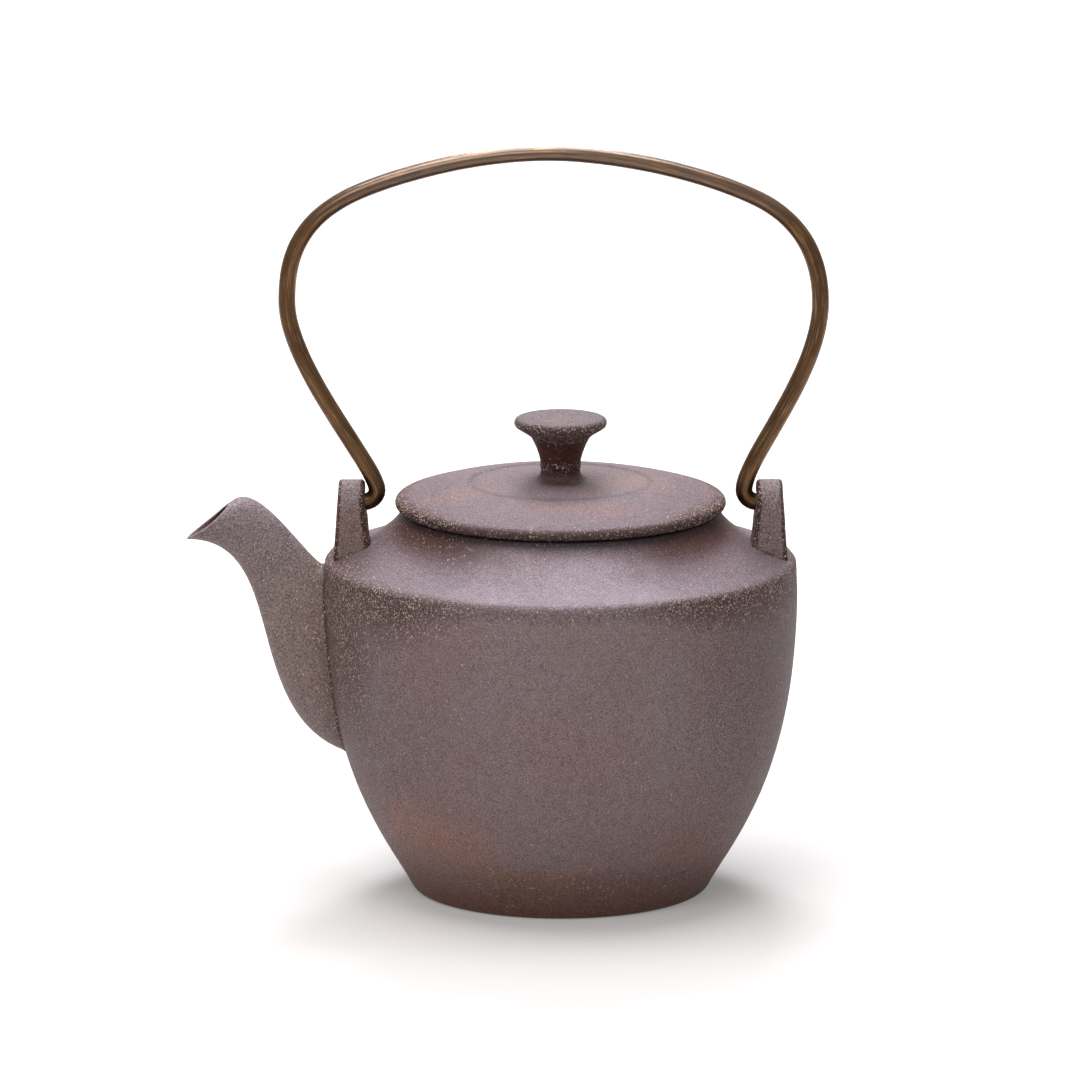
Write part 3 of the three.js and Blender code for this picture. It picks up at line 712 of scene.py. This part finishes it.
def make_bail():
    """The rod, swept along its middle line, which lies in the plane of X and Z."""
    front, rear = bail_half(-1, **FRONT), bail_half(1, **REAR)
    line = even(np.concatenate([front, rear[::-1][1:]]), 0.8)
    run = np.gradient(line, axis=0)
    run /= np.linalg.norm(run, axis=1)[:, None]
    s = lengths(line)
    # a little thinner at the crown, and rounded off at both ends
    radius = ROD_R * (1 - 0.07 * rising(line[:, 1], 165, 25))
    tip = np.clip(np.minimum(s, s[-1] - s) / ROD_END, 0, 1)
    radius *= 0.25 * np.sqrt(np.maximum(1 - (1 - tip) ** 2, 0.0025)) + 0.75 * (tip > 0)
    turn = full_turn(ROD_SIDES)
    flat = np.zeros(len(line))
    across = np.stack([-run[:, 1], flat, run[:, 0]], 1)
    out = (np.cos(turn)[None, :, None] * across[:, None, :]
           + np.sin(turn)[None, :, None] * np.array([0, 1.0, 0]))
    centre = np.stack([line[:, 0], flat, line[:, 1]], 1)[:, None, :]
    skin = (centre + out * radius[:, None, None]).reshape(-1, 3)
    dents = 0.035 * (drift(skin, 6.0, 21) - 0.4) + 0.012 * drift(skin, 1.6, 22)
    skin = skin + out.reshape(-1, 3) * dents[:, None]
    faces = grid_faces(len(line), ROD_SIDES, False)
    hub, last = len(skin), (len(line) - 1) * ROD_SIDES
    faces += [(hub, (k + 1) % ROD_SIDES, k) for k in range(ROD_SIDES)]
    faces += [(hub + 1, last + k, last + (k + 1) % ROD_SIDES) for k in range(ROD_SIDES)]
    bail = mesh_object("bail_rod", list(skin) + [centre[0, 0], centre[-1, 0]], faces)
    unroll(bail, np.append(np.repeat(s, ROD_SIDES), [0, s[-1]]),
           np.append(np.tile(turn, len(line)), [0, 0]))
    return bail


def unroll(bail, run, turn):
    """A UV map of metres along the rod and of turns round it, whole across its seam."""
    corners = np.empty(len(bail.data.loops), int)
    bail.data.loops.foreach_get("vertex_index", corners)
    uv = np.stack([run[corners] * MM, turn[corners] / (2 * math.pi)], 1)
    for poly in bail.data.polygons:
        loops = list(poly.loop_indices)
        if np.ptp(uv[loops, 1]) > 0.5:
            uv[[i for i in loops if uv[i, 1] < 0.5], 1] += 1
    bail.data.uv_layers.new(name="rod").data.foreach_set("uv", uv.reshape(-1))


# ---------------------------------------------------------------- materials
class Nodes:
    """Short calls for building one material's node tree."""

    def __init__(self, name):
        self.material = bpy.data.materials.new(name)
        self.material.use_nodes = True
        self.tree = self.material.node_tree
        self.shader = self.tree.nodes["Principled BSDF"]

    def link(self, source, target):
        self.tree.links.new(source, target)

    def put(self, socket, value):
        """Links the socket where the value is a socket, and else sets it."""
        if isinstance(value, bpy.types.NodeSocket):
            self.link(value, socket)
        else:
            socket.default_value = value

    def node(self, kind, **values):
        made = self.tree.nodes.new(kind)
        for key, value in values.items():
            setattr(made, key, value)
        return made

    def object_place(self):
        return self.node("ShaderNodeTexCoord").outputs["Object"]

    def axes(self, vector):
        out = self.node("ShaderNodeSeparateXYZ")
        self.link(vector, out.inputs[0])
        return out.outputs

    def noise(self, vector, size_mm, detail=2.0, rough=0.5):
        made = self.node("ShaderNodeTexNoise")
        self.link(vector, made.inputs["Vector"])
        made.inputs["Scale"].default_value = 1 / (size_mm * MM)
        made.inputs["Detail"].default_value = detail
        made.inputs["Roughness"].default_value = rough
        return made.outputs["Fac"]

    def ramp(self, value, low, high, smooth_ends=True):
        """0 at low and 1 at high, which may be the lower of the two."""
        made = self.node("ShaderNodeMapRange", clamp=True)
        made.interpolation_type = "SMOOTHSTEP" if smooth_ends else "LINEAR"
        self.put(made.inputs["Value"], value)
        made.inputs["From Min"].default_value = low
        made.inputs["From Max"].default_value = high
        return made.outputs["Result"]

    def math(self, operation, a, b=0.0, c=0.0):
        made = self.node("ShaderNodeMath", operation=operation)
        for socket, value in zip(made.inputs, (a, b, c)):
            self.put(socket, value)
        return made.outputs[0]

    def vector(self, operation, a, b):
        made = self.node("ShaderNodeVectorMath", operation=operation)
        self.link(a, made.inputs[0])
        made.inputs[1].default_value = b
        return made.outputs[0]

    def shift(self, place, amount):
        """The same place moved aside, so that one layer of specks is unlike another."""
        return self.vector("ADD", place, (amount, -amount * 0.7, amount * 0.4))

    def length(self, vector):
        made = self.node("ShaderNodeVectorMath", operation="LENGTH")
        self.link(vector, made.inputs[0])
        return made.outputs["Value"]

    def attribute(self, name):
        return self.node("ShaderNodeAttribute", attribute_name=name).outputs["Fac"]

    def grey(self, value):
        made = self.node("ShaderNodeCombineColor")
        for socket in made.inputs:
            self.link(value, socket)
        return made.outputs[0]

    def patch(self, place, centre, size):
        """1 in the middle of an ellipsoid with a ragged edge, and 0 outside it."""
        near = self.vector("SUBTRACT", place, [c * MM for c in centre])
        near = self.vector("DIVIDE", near, [s * MM for s in size])
        ragged = self.math("MULTIPLY_ADD", self.noise(place, 11, 3, 0.6), 0.9,
                           self.length(near))
        return self.ramp(ragged, 1.45, 0.55)

    def bump(self, height, strength, depth):
        made = self.node("ShaderNodeBump")
        made.inputs["Strength"].default_value = strength
        made.inputs["Distance"].default_value = depth
        self.link(height, made.inputs["Height"])
        self.link(made.outputs[0], self.shader.inputs["Normal"])

    def mix(self, factor, a, b, blend="MIX"):
        made = self.node("ShaderNodeMix", data_type="RGBA", blend_type=blend)
        self.put(made.inputs["Factor"], factor)
        for socket, colour in ((made.inputs[6], a), (made.inputs[7], b)):
            self.put(socket, (*colour, 1) if isinstance(colour, tuple) else colour)
        return made.outputs[2]

    def tint(self, colour, other, mask, amount):
        """The colour with an amount of another laid over it where the mask is 1."""
        return self.mix(self.math("MULTIPLY", mask, amount), colour, other)

    def specks(self, vector, cell_mm, share, small, large):
        """Round grains: a share of the cells holds one, with a radius from small to large.
        It gives where they are, and a number of its own for each."""
        cell = self.node("ShaderNodeTexVoronoi", feature="F1")
        self.link(vector, cell.inputs["Vector"])
        cell.inputs["Scale"].default_value = 1 / (cell_mm * MM)
        pick = self.node("ShaderNodeSeparateColor")
        self.link(cell.outputs["Color"], pick.inputs[0])
        there = self.math("LESS_THAN", pick.outputs[0], share)
        size = self.math("MULTIPLY_ADD", pick.outputs[1], large - small, small)
        near = self.math("SUBTRACT", size, cell.outputs["Distance"])
        spot = self.ramp(near, 0.0, 0.12)
        return self.math("MULTIPLY", spot, there), pick.outputs[2]


def srgb(r, g, b):
    """A linear colour from screen values of 0 to 255."""
    def linear(v):
        v /= 255
        return v / 12.92 if v <= 0.04045 else ((v + 0.055) / 1.055) ** 2.4
    return tuple(linear(v) for v in (r, g, b))


FLANK_SHADE, FOOT_RED_AND_SHADE, FIRED_AND_SHADED = srgb(82, 69, 72), srgb(117, 79, 65), srgb(78, 46, 39)
GROUND, CREASE_SHADE = srgb(62, 44, 38), srgb(34, 24, 22)
# The grains in the clay, laid on in this order: how far the layer is moved aside, the
# cell's size in mm, the share of cells that hold one (None: it follows the grit), least
# and largest radius in cells, how much it covers, and the two tones it lies between
GRAINS = {
    "fine": (2.1, 0.62, 0.45, 0.22, 0.44, 0.34, (112, 90, 84), (186, 170, 164)),
    "few": (0.0, 1.7, 0.3, 0.1, 0.17, 0.5, (142, 118, 106), (192, 174, 160)),
    "rust": (3.7, 3.3, 0.22, 0.06, 0.13, 0.4, (150, 100, 76), (150, 100, 76)),
    "dark": (9.1, 1.1, 0.4, 0.14, 0.3, 0.42, (54, 42, 41), (54, 42, 41)),
    "many": (5.3, 0.48, None, 0.3, 0.6, 0.85, (106, 80, 72), (216, 196, 187)),
}


def clay(name, base, top=None, lit_top_from=(), foot=False, shaded_flanks=(), blushes_and_lights=()):
    """Unglazed sandy stoneware. The grit attribute says where grog stands in the surface,
    and sand where the grain is coarse and its painted light and shade swing wider. A third
    attribute lays on red where the clay fired red and a reddish painted shade, and a fourth
    a dark painted shade at joins, in grooves and under overhangs. The base colour goes over
    to the top one between two heights, a painted sheen and top light. Each flank is painted
    shade that darkens along X from a first place to a last one, and each blush is a ragged
    patch of its own tint, some of them painted light."""
    n = Nodes(name)
    place = n.object_place()
    x, _, z = n.axes(place)
    grit, sand = n.attribute("grit"), n.attribute("sand")

    colour = n.mix(n.ramp(n.noise(place, 30, 3, 0.6), 0.36, 0.66),
                   srgb(*base), srgb(base[0] + 1, base[1] - 4, base[2] - 5))
    # the top colour is a painted sheen and top light on the upper parts
    if top:
        low, high = lit_top_from
        colour = n.mix(n.ramp(z, low * MM, high * MM), colour, srgb(*top))
    # painted shade, darker towards the sides
    for first, last, amount in shaded_flanks:
        colour = n.tint(colour, FLANK_SHADE, n.ramp(x, first * MM, last * MM), amount)
    # ragged patches of tint; some of them are painted light
    for centre, size, tint, amount in blushes_and_lights:
        colour = n.tint(colour, srgb(*tint), n.patch(place, centre, size), amount)
    # redder and darker towards the foot: partly the clay's fired colour, partly painted
    # shade near the table
    if foot:
        ragged = n.math("ADD", z, n.math("MULTIPLY", n.noise(place, 14, 2), 6 * MM))
        colour = n.tint(colour, FOOT_RED_AND_SHADE, n.ramp(ragged, 22 * MM, 4 * MM), 0.85)
    # red where the clay fired red, and a reddish painted shade under overhangs and on
    # shaded edges
    colour = n.mix(n.attribute("red_and_shade"), colour, FIRED_AND_SHADED)

    # sandy light and dark, partly the grains' own tone and partly their painted light
    #     # and shade, which swings wider where the sand is coarse
    grain = n.noise(place, 0.36, 1.0, 0.5)
    mottle = n.noise(place, 2.4, 3.0, 0.65)
    swing = n.math("MULTIPLY_ADD", sand, 0.75, 0.6)
    shade = n.math("SUBTRACT", n.ramp(grain, 0.36, 0.64, False), 0.5)
    shade = n.math("MULTIPLY_ADD", shade, swing, 0.93)
    shade = n.math("MULTIPLY_ADD", n.ramp(mottle, 0.34, 0.66, False), 0.14, shade)
    colour = n.mix(1.0, colour, n.grey(shade), "MULTIPLY")
    colour = n.tint(colour, GROUND, grit, 0.6)
    # dark painted shade at joins, in grooves and under overhangs
    colour = n.tint(colour, CREASE_SHADE, n.attribute("painted_shade"), 0.8)

    spots = {}
    for kind, (aside, cell, share, small, large, amount, dull, pale) in GRAINS.items():
        if share is None:
            share = n.math("MULTIPLY_ADD", grit, 0.95, 0.02)
        spots[kind], tone = n.specks(n.shift(place, aside), cell, share, small, large)
        colour = n.tint(colour, n.mix(tone, srgb(*dull), srgb(*pale)), spots[kind], amount)
    n.link(colour, n.shader.inputs["Base Color"])
    matt = n.math("MULTIPLY_ADD", sand, 0.16, 0.36)
    n.link(n.math("MULTIPLY_ADD", grain, 0.2, matt), n.shader.inputs["Roughness"])
    n.shader.inputs["Specular IOR Level"].default_value = 0.14

    height = n.noise(place, 0.6, 2.0, 0.6)
    height = n.math("MULTIPLY_ADD", n.noise(place, 2.2, 1.0), 0.5, height)
    for kind, rise in (("fine", 0.25), ("many", 0.5), ("dark", -0.4)):
        height = n.math("MULTIPLY_ADD", spots[kind], rise, height)
    n.bump(height, 0.8, 0.4 * MM)
    return n.material


def brass():
    """Drawn brass rod under a brown patina, rubbed brighter along its streaks and more
    glossy at the crown, where it is held."""
    n = Nodes("patinated_brass")
    shader = n.shader.inputs
    place = n.object_place()
    uv = n.node("ShaderNodeUVMap", uv_map="rod").outputs[0]
    girth, stretch = 14.1 * MM, 20
    along_rod = n.vector("MULTIPLY", uv, (1 / stretch, girth, 1.0))
    streak = n.noise(along_rod, 0.5, 3, 0.65)
    wide = n.noise(along_rod, 1.9, 2, 0.5)
    cloud = n.noise(place, 9, 3, 0.55)
    pits, _ = n.specks(place, 1.3, 0.18, 0.06, 0.16)
    tone = n.math("ADD", n.math("MULTIPLY", n.ramp(wide, 0.3, 0.7), 0.45),
                  n.math("MULTIPLY", n.ramp(cloud, 0.3, 0.7), 0.35))
    colour = n.mix(tone, srgb(66, 44, 27), srgb(104, 75, 46))
    colour = n.tint(colour, srgb(152, 124, 88), n.ramp(streak, 0.52, 0.72), 0.6)
    colour = n.tint(colour, srgb(52, 36, 26), n.ramp(streak, 0.45, 0.28), 0.55)
    colour = n.tint(colour, srgb(44, 32, 24), pits, 0.5)
    n.link(colour, shader["Base Color"])
    shader["Metallic"].default_value = 0.85
    handled = n.ramp(n.axes(place)[2], 172 * MM, 190 * MM)
    n.link(n.math("MULTIPLY_ADD", handled, 0.95, 0.05), shader["Coat Weight"])
    shader["Coat Roughness"].default_value = 0.18
    rubbed = n.ramp(streak, 0.3, 0.7)
    n.link(n.math("MULTIPLY_ADD", rubbed, -0.1, 0.36), shader["Roughness"])
    n.bump(n.math("MULTIPLY_ADD", pits, -0.7, streak), 0.35, 0.12 * MM)
    return n.material


def dress(thing, material, body, slot, *nodes):
    """Gives the thing its material and its body, and hides the solids it stands for.
    The slot is not used.
    """
    thing.data.materials.clear()
    thing.data.materials.append(material)
    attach(thing, body)
    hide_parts(*nodes)


# the top colours below are painted sheen and top light, and the flanks painted shade
POT_CLAY = clay(
    "stoneware_pot", foot=True, base=(133, 117, 118), top=(125, 111, 117),
    lit_top_from=(83.0, 88.5), shaded_flanks=[(21, 58, 0.48), (-16, -52, 0.28)],
    blushes_and_lights=[((-34, -38, 21), (34, 34, 16), (149, 113, 103), 0.85),
             ((-6, -44, 12), (24, 20, 6), (142, 107, 88), 0.55),
             ((38, -40, 19), (22, 24, 10), (130, 100, 88), 0.5),
             # the next two patches are painted light: a lit neck under the lid's front and
             # a painted sheen across the shoulder
             ((0, -42, 95), (34, 13, 7), (162, 147, 151), 0.6),
             ((4, -52, 92), (44, 22, 8), (160, 147, 157), 0.8)])
SPOUT_CLAY = clay("stoneware_spout", base=(135, 121, 118), top=(141, 127, 131),
                  lit_top_from=(84, 98))
LUG_CLAY = clay("stoneware_lugs", base=(138, 121, 118), top=(145, 129, 131),
                lit_top_from=(98, 107))
LID_CLAY = clay(
    "stoneware_lid", base=(95, 79, 76), top=(113, 97, 102), lit_top_from=(102.2, 104.6),
    blushes_and_lights=[((6, -30, 107), (20, 7, 6), (132, 102, 96), 0.55),
             ((-24, -12, 107), (16, 12, 6), (130, 103, 97), 0.5),
             ((18, -2, 108), (18, 16, 6), (132, 108, 98), 0.55)])
KNOB_CLAY = clay(
    "stoneware_knob", base=(106, 92, 94), top=(106, 94, 98), lit_top_from=(121.5, 124.8),
    blushes_and_lights=[((0, -4, 125), (9, 7, 2), (130, 104, 98), 0.4)])
INSIDE_CLAY = clay("stoneware_inside", base=(104, 84, 76))

dress(make_pot(), POT_CLAY, "pot", "pot_clay", "pot_body")
dress(make_spout(), SPOUT_CLAY, "pot", "spout_clay", "spout")
dress(make_lug("front_ear", -1, 31), LUG_CLAY, "pot", "lug_clay", "front_lug")
dress(make_lug("rear_ear", 1, 37), LUG_CLAY, "pot", "lug_clay", "rear_lug")
dress(make_lid_disc(), LID_CLAY, "lid", "lid_clay", "lid_disc")
dress(make_lid_flange(), INSIDE_CLAY, "lid", "inside_clay", "lid_flange")
dress(make_knob(), KNOB_CLAY, "lid", "knob_clay", "lid_knob")
dress(make_bail(), brass(), "bail", "bail_brass", "bail_handle")
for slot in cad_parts["strainer"].material_slots:
    slot.material = INSIDE_CLAY


# ---------------------------------------------------------------- floor, light and camera
def straight_rays(tree):
    """1 for what the camera sees, also by a reflection or through glass, and else 0."""
    path = tree.nodes.new("ShaderNodeLightPath")
    seen = path.outputs["Is Camera Ray"]
    for ray in ("Is Glossy Ray", "Is Transmission Ray"):
        either = tree.nodes.new("ShaderNodeMath")
        either.operation = "MAXIMUM"
        tree.links.new(seen, either.inputs[0])
        tree.links.new(path.outputs[ray], either.inputs[1])
        seen = either.outputs[0]
    return seen


def make_floor():
    """A pale round floor that glows more with distance, so that it melts into the white."""
    sides, radius = 64, 9000.0
    turn = full_turn(sides)
    grid = np.concatenate([np.stack([r * np.cos(turn), r * np.sin(turn), 0 * turn], 1)
                           for r in (radius * 0.02, radius * 0.2, radius)])
    faces = grid_faces(3, sides, False) + [tuple(range(sides))]
    floor = mesh_object("studio_floor", grid, faces)
    n = Nodes("studio_floor")
    n.shader.inputs["Base Color"].default_value = (0.61, 0.592, 0.578, 1)
    n.shader.inputs["Roughness"].default_value = 0.9
    n.shader.inputs["Specular IOR Level"].default_value = 0.1
    far = n.ramp(n.length(n.object_place()), 90 * MM, 340 * MM)
    strength = n.math("MULTIPLY_ADD", far, 0.36, 0.2)
    glow = n.node("ShaderNodeEmission")
    n.link(n.math("MULTIPLY", straight_rays(n.tree), strength), glow.inputs["Strength"])
    both = n.node("ShaderNodeAddShader")
    n.link(n.shader.outputs[0], both.inputs[0])
    n.link(glow.outputs[0], both.inputs[1])
    n.link(both.outputs[0], n.tree.nodes["Material Output"].inputs["Surface"])
    floor.data.materials.append(n.material)


def softbox(name, place, target, size, power, tint):
    data = bpy.data.lights.new(name, "AREA")
    data.shape, data.size, data.size_y = "RECTANGLE", size[0], size[1]
    data.energy, data.color = power, tint
    lamp = bpy.data.objects.new(name, data)
    lamp.location = place
    aim = Vector(target) - Vector(place)
    lamp.rotation_euler = aim.to_track_quat("-Z", "Y").to_euler()
    bpy.context.scene.collection.objects.link(lamp)


def make_world():
    """Pale where the camera looks past the floor, and a dim even light on everything."""
    world = bpy.data.worlds.new("studio")
    bpy.context.scene.world = world
    world.use_nodes = True
    tree = world.node_tree
    ambient = tree.nodes["Background"]
    ambient.inputs["Color"].default_value = (1, 1, 1, 1)
    ambient.inputs["Strength"].default_value = 0.17
    white = tree.nodes.new("ShaderNodeBackground")
    white.inputs["Color"].default_value = (0.8, 0.8, 0.8, 1)
    mix = tree.nodes.new("ShaderNodeMixShader")
    tree.links.new(straight_rays(tree), mix.inputs[0])
    tree.links.new(ambient.outputs[0], mix.inputs[1])
    tree.links.new(white.outputs[0], mix.inputs[2])
    tree.links.new(mix.outputs[0], tree.nodes["World Output"].inputs["Surface"])


def make_camera():
    """The photo's own view, far off and about 12 degrees above the table."""
    data = bpy.data.cameras.new("camera")
    data.sensor_width = SENSOR_MM
    data.lens = FOCAL_PX / PHOTO_PX * SENSOR_MM
    data.clip_end = 50
    camera = bpy.data.objects.new("camera", data)
    camera.location = CAMERA_PLACE
    camera.rotation_euler = (math.radians(CAMERA_TILT), 0, 0)
    bpy.context.scene.collection.objects.link(camera)
    bpy.context.scene.camera = camera


LAMPS = {  # place, target, width and depth, watts, tint
    "overhead": ((-0.08, 0.08, 1.3), (0, 0, 0.06), (1.0, 0.85), 18.5, (1.0, 0.985, 1.0)),
    "behind": ((-0.03, 1.15, 1.38), (0, 0, 0.08), (0.5, 0.5), 19, (0.95, 0.94, 1.0)),
    "front": ((-0.45, -1.35, 1.4), (0, 0, 0.08), (1.1, 0.9), 12, (1.0, 0.975, 0.965)),
}
PHOTO_PX, FOCAL_PX, SENSOR_MM = 1080, 12279.36, 36
CAMERA_PLACE, CAMERA_TILT = (-0.0053373, -3.1210602, 0.7670924), 77.8

make_floor()
make_world()
for name, lamp in LAMPS.items():
    softbox(name, *lamp)
make_camera()
bpy.context.scene.view_settings.view_transform = "Standard"
